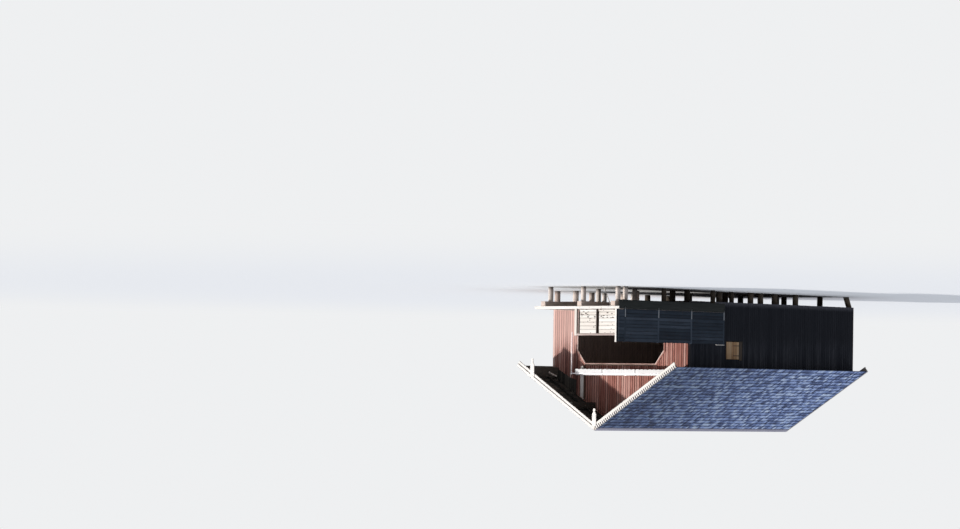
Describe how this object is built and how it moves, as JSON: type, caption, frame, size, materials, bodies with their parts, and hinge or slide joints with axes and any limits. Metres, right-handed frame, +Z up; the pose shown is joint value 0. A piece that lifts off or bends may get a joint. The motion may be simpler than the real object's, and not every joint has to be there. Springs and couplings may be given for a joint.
{
  "type": "boathouse",
  "caption": "Boarded timber boathouse on piles with a pitched shingle roof, an open boat entrance, a railed bathing deck beside it and a rolled-up awning.",
  "frame": {"origin": "on the water surface, under the middle of the whole building with its deck", "axes": "+X to the right seen from the lake in front of the entrance, +Y from the entrance to the back gable along the ridge, +Z up"},
  "size_m": [8.7026, 15.295, 5.53],
  "materials": {
    "piles": "bare weathered round timber",
    "frame_timber": "dark stained",
    "beam_timber": "bare weathered",
    "floor_boards": "bare weathered",
    "wall_boards": "faded red-brown stain",
    "bare_boards": "faded paint",
    "shutter_boards": "light stain",
    "roof_shingles": "weathered grey shingles",
    "cream_boards": "cream paint, worn",
    "screen_boards": "dark grey-green stain",
    "awning_cloth": "white canvas",
    "awning_metal": "light grey paint"
  },
  "bodies": {
    "root": {"house_piles_left": "piles", "house_piles_right": "piles", "inner_piles": "piles", "deck_piles": "piles", "sill_beams": "frame_timber", "tie_frames": "frame_timber", "ridge_purlin": "frame_timber", "middle_purlins": "frame_timber", "eave_purlins": "frame_timber", "deck_beam_left": "beam_timber", "deck_beam_middle": "beam_timber", "deck_beam_right": "beam_timber", "deck_edge_beam": "beam_timber", "inner_floor": "floor_boards", "deck_floor": "floor_boards", "walkway_floor": "floor_boards", "left_wall": "wall_boards", "right_wall": "wall_boards", "back_wall": "wall_boards", "front_wall_left": "wall_boards", "front_wall_right": "wall_boards", "front_gable": "wall_boards", "entrance_trim": "bare_boards", "window_left": "shutter_boards", "window_right": "shutter_boards", "roof_left": "roof_shingles", "roof_right": "roof_shingles", "ridge_cap": "roof_shingles", "deck_fascia": "cream_boards", "verge_front_left": "cream_boards", "verge_front_right": "cream_boards", "verge_back": "cream_boards", "apex_pendant": "cream_boards", "eave_pendant": "cream_boards", "hanging_post": "cream_boards", "parapet_panels": "cream_boards", "parapet_posts": "cream_boards", "top_rail": "cream_boards", "screen_posts": "screen_boards", "screen_panels": "screen_boards", "awning_roller": "awning_cloth", "awning_valance": "awning_cloth", "awning_brackets": "awning_metal", "awning_crank": "awning_metal", "raking_rod": "awning_metal"}
  },
  "joints": []
}
